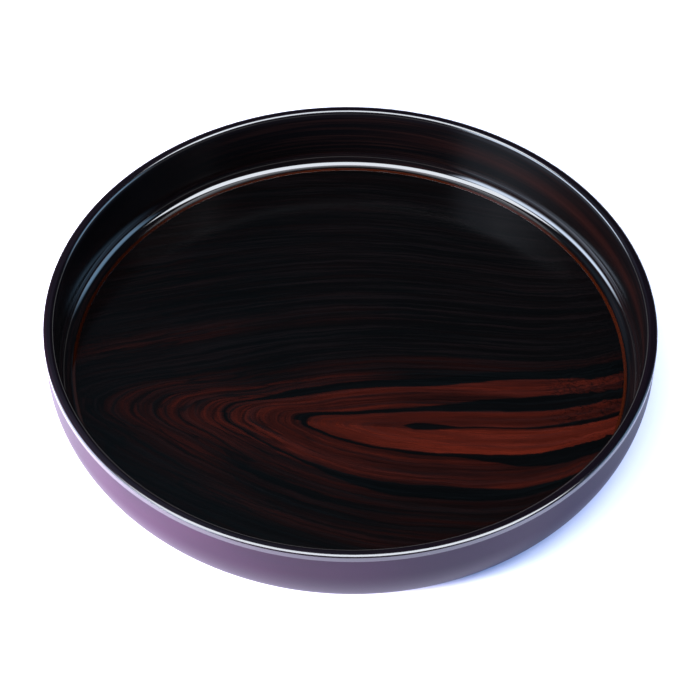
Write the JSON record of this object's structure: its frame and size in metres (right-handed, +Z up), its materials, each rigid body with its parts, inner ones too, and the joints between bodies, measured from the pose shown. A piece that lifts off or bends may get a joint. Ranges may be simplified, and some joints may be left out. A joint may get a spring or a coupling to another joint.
{
  "type": "round serving tray",
  "caption": "Round lacquered serving tray with a figured wood floor, a hollow cove and a low upright wall that curves in underneath.",
  "frame": {"origin": "on the table, under the middle of the tray", "axes": "+Z up, along the tray's axis; +X to the right and +Y to the back, as the floor's grain is seen"},
  "size_m": [0.3, 0.3, 0.044],
  "materials": {
    "board_lacquer": "satin lacquer on turned wood",
    "backing_lacquer": "satin lacquer on plain veneer",
    "foot_lacquer": "satin lacquer, rubbed along its bottom edge",
    "wall_lacquer": "gloss plum lacquer",
    "rim_lacquer": "gloss plum lacquer with fine brush lines",
    "lining_veneer": "clear gloss lacquer on near-black veneer",
    "cove_lacquer": "clear gloss lacquer on black stained wood",
    "floor_veneer": "clear gloss lacquer on black and red-brown figured veneer",
    "inlay_wood": "clear gloss lacquer on orange-brown wood"
  },
  "bodies": {
    "root": {"base_board": "board_lacquer", "backing_veneer": "backing_lacquer", "foot_ring": "foot_lacquer", "heel_ring": "wall_lacquer", "wall_hoop": "wall_lacquer", "rim_ring": "rim_lacquer", "wall_lining": "lining_veneer", "cove_ring": "cove_lacquer", "floor_veneer": "floor_veneer", "inlay_line": "inlay_wood"}
  },
  "joints": []
}
